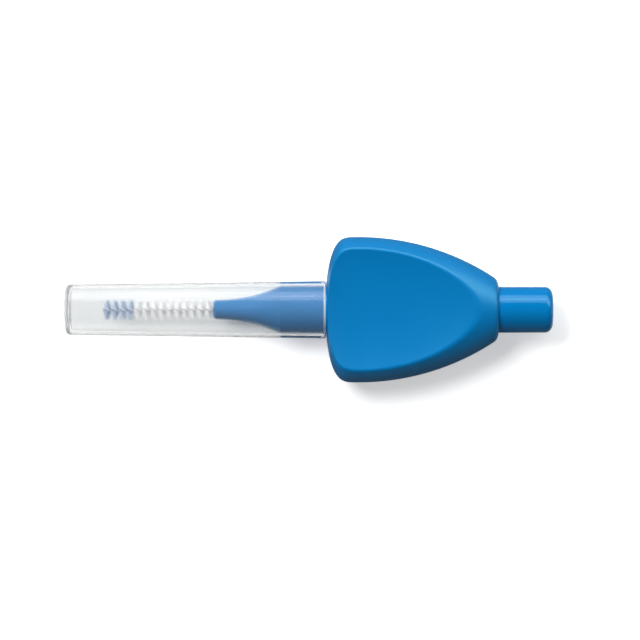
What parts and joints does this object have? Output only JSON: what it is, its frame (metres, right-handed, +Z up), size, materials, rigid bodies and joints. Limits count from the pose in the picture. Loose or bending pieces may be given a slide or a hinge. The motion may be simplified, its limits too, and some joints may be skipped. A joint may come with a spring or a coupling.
{
  "type": "interdental brush",
  "caption": "Interdental brush: bristles twisted in a folded wire, held by a flared neck on a dished finger grip, with a clear tapered cap that slides over the brush.",
  "frame": {"origin": "middle of the length and width, on the surface that the grip lies on", "axes": "+X along the long axis from the closed end of the cap to the free stub, +Y across the grip, +Z up out of the dished face"},
  "size_m": [0.0538, 0.016, 0.0072],
  "materials": {
    "clear_polypropylene": "clear moulded plastic, slightly frosted",
    "gloss_blue_plastic": "glossy moulded plastic",
    "satin_blue_plastic": "satin moulded plastic",
    "steel_wire": "drawn stainless wire",
    "blue_nylon": "fine nylon filament",
    "white_nylon": "fine nylon filament"
  },
  "bodies": {
    "handle": {"handle_core": "gloss_blue_plastic", "grip": "satin_blue_plastic", "wire": "steel_wire", "tip_bristles": "blue_nylon", "field_bristles": "white_nylon"},
    "cap": {"cap": "clear_polypropylene"}
  },
  "joints": [
    {"name": "cap_slide", "type": "slide", "parent": "handle", "child": "cap", "axis": [-1, 0, 0], "range_m": [0, 0.03]}
  ]
}
